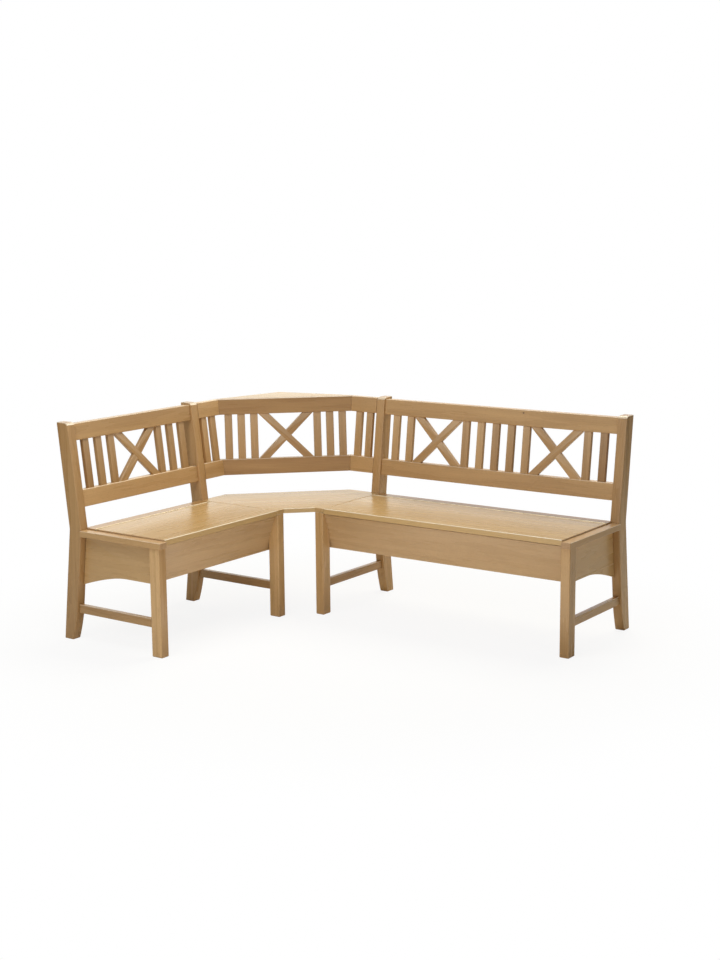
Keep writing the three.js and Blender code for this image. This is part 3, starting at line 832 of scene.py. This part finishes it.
def cross_arms(centre):
    """Front views of a cross: a whole arm leaning one way and the two halves of the other.

    An arm is the strip between two parallel lines. Its level half width is the half width
    times the length over the rise of its slope, and the slope depends on that width in turn,
    so they are settled in rounds. The halves meet inside the whole arm.
    """
    rise = (TOP_RAIL_BOTTOM - BOTTOM_RAIL_TOP) / 2
    level_half = SLAT_WIDTH / 2
    for _ in range(SETTLING_ROUNDS):
        run = CROSS_WIDTH / 2 - level_half
        level_half = SLAT_WIDTH / 2 * math.hypot(1, run / rise)
    slope = (CROSS_WIDTH / 2 - level_half) / rise
    reach = rise + ARM_TENON
    far, near = slope * reach + level_half, slope * reach - level_half
    whole = np.array([(-far, -reach), (-near, -reach), (far, reach), (near, reach)])
    upper = np.array([(-level_half, 0), (level_half, 0), (-near, reach), (-far, reach)])
    place = np.array([centre, MIDDLE_HEIGHT])
    return slope, place + whole, place + upper, place - upper


def back_fill(maker, name, clear, rows, end_share, front, elbow_depth, leans, rise=0.0):
    """Slats and crosses spread over the clear width of a backrest, let into its two rails.

    What the slats and crosses leave of the clear width is shared out in even gaps, with the
    end share of one before the first slat and after the last. The pieces are leaned back from
    the elbow and lifted by the rise. Leans is 1 where the whole arm leans to +x, else -1.
    """
    slats = sum(rows)
    taken = slats * SLAT_WIDTH + (len(rows) - 1) * (CROSS_WIDTH + 2 * CROSS_GAP)
    gap = (clear[1] - clear[0] - taken) / (slats - len(rows) + 2 * end_share)
    deep = (front + SLAT_RECESS, front + SLAT_RECESS + SLAT_THICKNESS)
    high = (BOTTOM_RAIL_TOP - SLAT_TENON, TOP_RAIL_BOTTOM + SLAT_TENON)

    def warp(points):
        return leaned(points + (0, 0, rise), elbow_depth)

    start = clear[0] + end_share * gap
    made = 0
    for row, count in enumerate(rows):
        for _ in range(count):
            made += 1
            slat = board((start, start + SLAT_WIDTH), deep, high, HIGH, SLAT_ARRIS, SLAT_END)
            row_node = f"{name}_slat_row_{row + 1}"
            maker.add(f"{name}_slat_{made}", slat, (0, 0, 1), [row_node], warp=warp)
            start += SLAT_WIDTH + gap
        start += CROSS_GAP - gap
        if row < len(rows) - 1:
            node = f"{name}_cross_{row + 1}"
            slope, whole, upper, lower = cross_arms(start + CROSS_WIDTH / 2)
            for part, view, way in zip(ARMS, (whole, upper, lower), (1, -1, -1)):
                view = view * (leans, 1) + ((1 - leans) * (start + CROSS_WIDTH / 2), 0)
                outline = softened(view[:, ::-1], SLAT_ARRIS)
                # The halves stand a hair behind the whole arm, where the joint shows as a line
                sunk = 0.0 if part == "whole" else HALVING_STEP
                arm = carried(outline, (deep[0] + sunk, deep[1] - sunk), SLAT_ARRIS, FRONT_VIEW)
                fibres = (leans * way * slope, 0, 1)
                maker.add(f"{node}_{part}_arm", arm, fibres, [node], warp=warp)
            start += CROSS_WIDTH + CROSS_GAP


def hinge(maker, name, along, moving, body):
    """One side of a full-length hinge: leaf, every other barrel, folds up to them, and screws.

    The hinge is divided into an odd count of barrels nearest to their pitch; the fixed side
    has the first, third and so on with the pin, the moving side the others.
    """
    length = along[1] - along[0]
    count = 2 * max(1, round(length / (2 * BARREL_PITCH))) + 1
    pitch = length / count
    side = -1 if moving else 1
    wall = HINGE_DEPTH + side * (HINGE_SLOT_HALF - JOINT_GAP)
    inner = wall - side * LEAF_THICKNESS
    deep = sorted((wall, inner))
    plate_top = SEAT_HEIGHT - BARREL_RADIUS - BARREL_GAP
    turn = np.linspace(0, 2 * np.pi, ROUND_SIDES, endpoint=False)
    circle = np.column_stack([np.cos(turn), np.sin(turn)])
    axis = np.array([HINGE_DEPTH, SEAT_HEIGHT])
    forms = [board(along, deep, (SEAT_HEIGHT - LEAF_HEIGHT, plate_top), ALONG, LEAF_EDGE)]
    fold_high = (plate_top - LEAF_THICKNESS, SEAT_HEIGHT - FOLD_DROP)
    for i in range(1 if moving else 0, count, 2):
        start = along[0] + i * pitch
        span = (start + BARREL_GAP / 2, start + pitch - BARREL_GAP / 2)
        forms.append(carried(axis + BARREL_RADIUS * circle, span, BARREL_EDGE, SIDE_VIEW))
        forms.append(board(span, deep, fold_high, ALONG, FOLD_EDGE))
    if not moving:
        ends = (along[0] + BARREL_GAP, along[1] - BARREL_GAP)
        forms.append(carried(axis + PIN_RADIUS * circle, ends, FOLD_EDGE, SIDE_VIEW))
    # Raised screw heads with eased rims, near the middle of the leaf's height
    screws = int(length // SCREW_PITCH)
    screw_height = SEAT_HEIGHT - LEAF_HEIGHT / 2 - SCREW_DROP
    for place in along[0] + length * (np.arange(screws) + 0.5) / screws:
        head = np.array([screw_height, place]) + SCREW_RADIUS * circle
        reach = sorted((inner, inner - side * SCREW_RISE))
        forms.append(carried(head, reach, BARREL_EDGE, FRONT_VIEW))
    node = f"{name}_hinge_{'moving' if moving else 'fixed'}_leaf"
    piece = maker.add(node + "_steel", together(forms), (1, 0, 0), [node], hinge_steel, body)


def strip_plan(inner, outer, beside_post):
    """Plan of the strip behind the hinge, notched round the outer rear post."""
    front = HINGE_DEPTH + HINGE_SLOT_HALF
    post_front = SEAT_DEPTH - JOINT_GAP
    return softened([
        (inner, front), (outer, front), (outer, post_front), (beside_post, post_front),
        (beside_post, SEAT_REAR), (inner, SEAT_REAR)], STRIP_CORNER)


# Heights of the rails of a bench's back, and of the corner's, which stand a little higher
BENCH_RAILS = {
    "bottom_rail": (BOTTOM_RAIL_BOTTOM, BOTTOM_RAIL_TOP),
    "top_rail": (TOP_RAIL_BOTTOM, TOP_RAIL_TOP),
}
CORNER_RAILS = {
    part: (low + CORNER_RISE, high + CORNER_RISE) for part, (low, high) in BENCH_RAILS.items()}


def bench(maker, name, length, rows, end_share, outward, leans):
    """One chest bench: its outer end lies at +x of its frame where outward is 1, else at -x."""
    def span(start, finish):
        """The range along the frame between two places counted outwards from the inner end."""
        return sorted((outward * (CORNER_OFFSET + start), outward * (CORNER_OFFSET + finish)))

    along, deep, high = (1, 0, 0), (0, 1, 0), (0, 0, 1)
    between = span(FRAME_THICKNESS + JOINT_GAP, length - FRAME_THICKNESS - JOINT_GAP)
    outer_face = length - PANEL_RECESS
    inner_face = (FRAME_THICKNESS - PANEL_THICKNESS) / 2
    rail_inside = length - FRAME_THICKNESS + END_RAIL_LIP
    rail_along = span(rail_inside, length + END_RAIL_LIP)
    stretcher_face = length - STRETCHER_RECESS

    ends = {
        "outer": (span(length - FRAME_THICKNESS, length), END_RAIL_BOTTOM - JOINT_GAP,
                  span(outer_face - PANEL_THICKNESS, outer_face),
                  span(stretcher_face - STRETCHER_THICKNESS, stretcher_face)),
        "inner": (span(0, FRAME_THICKNESS), CORNER_SEAT_BOTTOM - JOINT_GAP,
                  span(inner_face, inner_face + PANEL_THICKNESS),
                  span(STRETCHER_RECESS, STRETCHER_RECESS + STRETCHER_THICKNESS)),
    }
    for end, (frame_along, top, panel_along, stretcher_along) in ends.items():
        post = carried(post_side(), frame_along, POST_ARRIS, SIDE_VIEW)
        maker.dress(f"{name}_{end}_rear_post", "timber", post, high)
        leg = board(
            frame_along, (0, LEG_DEPTH), (0, top), HIGH, FOOT_CHAMFER, (FOOT_CHAMFER, BUTTED_END))
        maker.dress(f"{name}_{end}_front_leg", "timber", leg, high)
        panel = carried(panel_side(top, end == "outer"), panel_along, PANEL_ARRIS, SIDE_VIEW)
        maker.dress(f"{name}_{end}_end_panel", "board", panel, deep, panel_beech)
        stretcher = carried(stretcher_side(), stretcher_along, RAIL_ARRIS, SIDE_VIEW)
        maker.dress(f"{name}_{end}_stretcher", "timber", stretcher, deep)

    rail_deep = (-END_RAIL_OVERHANG, SEAT_DEPTH - JOINT_GAP)
    rail = board(rail_along, rail_deep, (END_RAIL_BOTTOM, END_RAIL_TOP), DEEP, SEAT_ARRIS)
    maker.dress(f"{name}_outer_end_rail", "timber", rail, deep)
    bearer = board(
        span(inner_face - JOINT_GAP - BEARER_THICKNESS, inner_face - JOINT_GAP),
        (LEG_DEPTH + BEARER_SETBACK, SEAT_DEPTH - BEARER_SETBACK),
        (CORNER_SEAT_BOTTOM - JOINT_GAP - BEARER_HEIGHT, CORNER_SEAT_BOTTOM - JOINT_GAP), DEEP)
    maker.dress(f"{name}_seat_bearer", "timber", bearer, deep)

    # The leaning board is let into the legs and reaches the end panels behind them
    housed = span(
        inner_face + PANEL_THICKNESS + JOINT_GAP, outer_face - PANEL_THICKNESS - JOINT_GAP)
    front_board = carried(front_board_side(), housed, HOUSED_END, SIDE_VIEW)
    maker.dress(f"{name}_front_board", "glued", front_board, along, glued_beech)
    rear_deep = (SEAT_REAR - REAR_BOARD_THICKNESS, SEAT_REAR)
    rear_high = (BOARD_BOTTOM, LID_BOTTOM - JOINT_GAP)
    rear = board(between, rear_deep, rear_high, ALONG, REAR_BOARD_ARRIS)
    maker.dress(f"{name}_rear_board", "glued", rear, along, glued_beech)
    floor = board(
        housed, (board_front(FLOOR_BOTTOM) + BOARD_THICKNESS + JOINT_GAP, rear_deep[0] - JOINT_GAP),
        (FLOOR_BOTTOM, FLOOR_BOTTOM + FLOOR_THICKNESS), ALONG, HOUSED_END)
    maker.dress(f"{name}_floor_board", "glued", floor, along, glued_beech)

    lid_ends = (INNER_LAP + LID_GAP, rail_inside - LID_GAP)
    lid_along = span(*lid_ends)
    seat_high = (LID_BOTTOM, SEAT_HEIGHT)
    body = f"{name}_lid"
    lid_deep = (0, HINGE_DEPTH - HINGE_SLOT_HALF)
    lid = board(lid_along, lid_deep, seat_high, HIGH, LID_CORNER, (SEAT_ARRIS, LID_ARRIS))
    maker.dress(f"{name}_lid", "glued", lid, along, seat_beech, body)
    beside_post = length - FRAME_THICKNESS - JOINT_GAP
    plan = strip_plan(*(outward * (CORNER_OFFSET + place) for place in (*lid_ends, beside_post)))
    strip = carried(plan, seat_high, STRIP_ARRIS, PLAN_VIEW)
    maker.dress(f"{name}_rear_strip", "timber", strip, along)
    hinge(maker, name, lid_along, False, "frame")
    hinge(maker, name, lid_along, True, body)

    def warp(points):
        return leaned(points, 0)

    front = SEAT_DEPTH + RAIL_RECESS
    for part, rail_high in BENCH_RAILS.items():
        rail_deep = (front, front + RAIL_THICKNESS)
        rail = board(between, rail_deep, rail_high, ALONG, RAIL_ARRIS, BUTTED_END)
        maker.dress(f"{name}_{part}", "timber", rail, along, warp=warp)
    clear = span(FRAME_THICKNESS, length - FRAME_THICKNESS)
    back_fill(maker, name, clear, rows, end_share, RAIL_RECESS, SEAT_DEPTH, leans)


long_side = Maker(0)
short_side = Maker(90)
corner_back = Maker(45)
bench(long_side, "long", LONG_LENGTH, LONG_ROWS, LONG_END_SHARE, 1, 1)
bench(short_side, "short", SHORT_LENGTH, SHORT_ROWS, SHORT_END_SHARE, -1, -1)


def corner_run(maker, name, low_end, high_end, rows, end_share, leans):
    """Rails and filling of one part of the corner backrest, flush with a post or mitred.

    Each end is (place, depth of the elbow, slope): it is cut at its place plus the slope times
    the depth past the elbow, and the filling has the width that is clear at its own depth.
    """
    def warp(points):
        return stretched(leaned(points, low_end[1]), low_end, high_end)

    along = (low_end[0], high_end[0])
    for part, rail_high in CORNER_RAILS.items():
        rail = board(along, (0, RAIL_THICKNESS), rail_high, ALONG, RAIL_ARRIS, MITRED_END)
        maker.dress(f"{name}_{part}", "timber", rail, (1, 0, 0), warp=warp)
    past = raked_front(MIDDLE_HEIGHT + CORNER_RISE) + SLAT_RECESS - SEAT_DEPTH
    clear = [place + slope * past for place, _, slope in (low_end, high_end)]
    back_fill(maker, name, clear, rows, end_share, 0, low_end[1], leans, CORNER_RISE)


def top_shelf(maker):
    """The triangular shelf behind the diagonal's top rail, its front edge cut to that rake."""
    rail_back = DIAGONAL_DEPTH + raked_front(CORNER_RAIL_TOP) - SEAT_DEPTH + RAIL_THICKNESS
    half = DIAGONAL_HALF + MITRE * (rail_back - DIAGONAL_DEPTH) - JOINT_GAP
    seam = rail_back + JOINT_GAP
    tip = rail_back + SHELF_TIP
    plan = softened([
        (-half, seam), (half, seam), (half - SHELF_TIP, tip), (0, rail_back + SHELF_REACH),
        (SHELF_TIP - half, tip)],
        [SEAT_ARRIS, SEAT_ARRIS, SHELF_TIP_ROUND, SHELF_APEX_ROUND, SHELF_TIP_ROUND])
    shelf_high = (CORNER_RAIL_TOP - SHELF_THICKNESS, CORNER_RAIL_TOP)
    form = carried(plan, shelf_high, SEAT_ARRIS, PLAN_VIEW)

    def warp(points):
        """Points at the seam move back by the rake times their height over the shelf's top."""
        points = points.copy()
        at_seam = points[:, DEEP] < seam + SHELF_SEAM_BAND
        points[at_seam, DEEP] += BACK_RAKE * (points[at_seam, HIGH] - CORNER_RAIL_TOP)
        return points

    maker.dress("corner_top_shelf", "glued", form, (1, 0, 0), seat_beech, warp=warp)


def corner_seat(maker):
    """The corner seat: over both inner end frames, notched round the posts, cut straight across."""
    lap = CORNER_OFFSET + INNER_LAP
    side = CORNER_OFFSET - JOINT_GAP
    bend = BEND_ALONG - MITRE * (SEAT_REAR - SEAT_DEPTH)
    post_front = SEAT_DEPTH - JOINT_GAP
    long_half = np.array([
        (CORNER_OFFSET, 0), (lap, 0), (lap, post_front), (side, post_front), (side, SEAT_REAR),
        (bend, SEAT_REAR)])
    short_half = -long_half[::-1, ::-1]
    plan = softened(np.concatenate([long_half, short_half]), CORNER_SEAT_CORNER)
    form = carried(plan, (CORNER_SEAT_BOTTOM, SEAT_HEIGHT), SEAT_ARRIS, PLAN_VIEW)
    maker.add("corner_seat_glued", form, (1, 1, 0), ["corner_seat_board"], seat_beech)


for maker, name, outward in (
        (long_side, "corner_right_wing", 1), (short_side, "corner_left_wing", -1)):
    post_end = (outward * (CORNER_OFFSET - JOINT_GAP), SEAT_DEPTH, 0)
    bend_end = (outward * (BEND_ALONG + JOINT_GAP), SEAT_DEPTH, -outward * MITRE)
    corner_run(maker, name, *sorted((post_end, bend_end)), WING_ROWS, WING_END_SHARE, 1)
half = DIAGONAL_HALF - JOINT_GAP
corner_run(
    corner_back, "corner_diagonal", (-half, DIAGONAL_DEPTH, -MITRE), (half, DIAGONAL_DEPTH, MITRE),
    DIAGONAL_ROWS, DIAGONAL_END_SHARE, -1)
top_shelf(corner_back)
corner_seat(long_side)


# The room: a round floor in metres, and how far from its middle it turns to plain white
FLOOR_RADIUS = 14
FLOOR_SIDES = 96
LIT_NEAR = 0.9
LIT_FAR = 1.9


def make_floor():
    """A round pale floor, lit near the object, that fades to the plain white of the backdrop."""
    turn = np.linspace(0, 2 * np.pi, FLOOR_SIDES, endpoint=False)
    rim = FLOOR_RADIUS * np.column_stack([np.cos(turn), np.sin(turn), np.zeros(FLOOR_SIDES)])
    mesh = bpy.data.meshes.new("floor")
    mesh.from_pydata(rim, [], [list(range(FLOOR_SIDES))])
    material, add = bare_material("pale_floor")
    place = add("ShaderNodeTexCoord").outputs["Object"]
    reach = add("ShaderNodeVectorMath", {0: place}, operation="LENGTH")
    far = add(
        "ShaderNodeMapRange",
        {"Value": reach.outputs["Value"], "From Min": LIT_NEAR, "From Max": LIT_FAR,
         "To Min": 0.88, "To Max": 1.0},
        interpolation_type="SMOOTHSTEP")
    seen = add("ShaderNodeLightPath").outputs["Is Camera Ray"]
    white = add("ShaderNodeMath", {0: far.outputs[0], 1: seen}, operation="MULTIPLY")
    matt = add("ShaderNodeBsdfDiffuse", {"Color": linear("#FCFBF9")})
    plain = add("ShaderNodeEmission", {"Color": linear("#FFFFFF"), "Strength": 1.0})
    mixed = add(
        "ShaderNodeMixShader", {0: white.outputs[0], 1: matt.outputs[0], 2: plain.outputs[0]})
    add("ShaderNodeOutputMaterial", {0: mixed.outputs[0]})
    mesh.materials.append(material)
    floor = bpy.data.objects.new("floor", mesh)
    bpy.context.scene.collection.objects.link(floor)


def make_lamp(name, place, aim, size, power, colour="#FFFFFF"):
    """A square soft box that faces the aimed point."""
    lamp = bpy.data.lights.new(name, "AREA")
    lamp.size = size
    lamp.energy = power
    lamp.color = linear(colour)[:3]
    holder = bpy.data.objects.new(name, lamp)
    sight = np.array(aim, float) - np.array(place, float)
    sight /= np.linalg.norm(sight)
    level = np.cross(sight, (0, 0, 1.0)) if abs(sight[2]) < 0.99 else np.array([1.0, 0, 0])
    level /= np.linalg.norm(level)
    turn = Matrix(np.column_stack([level, np.cross(level, sight), -sight]).tolist()).to_4x4()
    turn.translation = place
    holder.matrix_world = turn
    holder.visible_camera = False
    bpy.context.scene.collection.objects.link(holder)


def make_world():
    """A plain white room: strength 1 where seen or mirrored, weaker as light on the object."""
    world = bpy.data.worlds.new("room")
    world.use_nodes = True
    world.node_tree.nodes.clear()
    add = partial(add_node, world.node_tree)
    path = add("ShaderNodeLightPath")
    mirrored = add(
        "ShaderNodeMath",
        {0: path.outputs["Is Glossy Ray"], 1: path.outputs["Is Transmission Ray"]},
        operation="MAXIMUM")
    seen = add(
        "ShaderNodeMath", {0: path.outputs["Is Camera Ray"], 1: mirrored.outputs[0]},
        operation="MAXIMUM")
    strength = add("ShaderNodeMapRange", {"Value": seen.outputs[0], "To Min": 0.05, "To Max": 1.0})
    sky = add(
        "ShaderNodeBackground", {"Color": linear("#FFFFFF"), "Strength": strength.outputs[0]})
    add("ShaderNodeOutputWorld", {0: sky.outputs[0]})
    bpy.context.scene.world = world


make_floor()
make_world()
# Soft boxes: name, place and aimed point in metres, side in metres, power in watts, and colour
make_lamp("rear_ceiling_box", (0, 2.2, 4.0), (0, 0, 0.3), 3.0, 150, "#FDF8E6")
make_lamp("lit_backdrop", (-4.5, 3.4, 1.7), (-0.3, 0, 0.45), 4.2, 28, "#FBF6DA")
make_lamp("ceiling_box", (0.2, -1.6, 3.0), (-0.2, -0.1, 0.3), 1.6, 34)
make_lamp("right_box", (3.0, -0.8, 1.2), (0.9, 0, 0.5), 1.0, 4.3)
make_lamp("left_box", (-0.9, -2.2, 2.2), (-0.4, 0, 0.4), 1.2, 11)
make_lamp("low_front_box", (0.8, -3.4, 0.9), (0, 0, 0.3), 1.6, 12)
make_lamp("floor_reflector", (0.5, -0.75, 0.03), (0.5, -0.75, 3), 1.3, 4)

bpy.context.scene.view_settings.view_transform = "Standard"
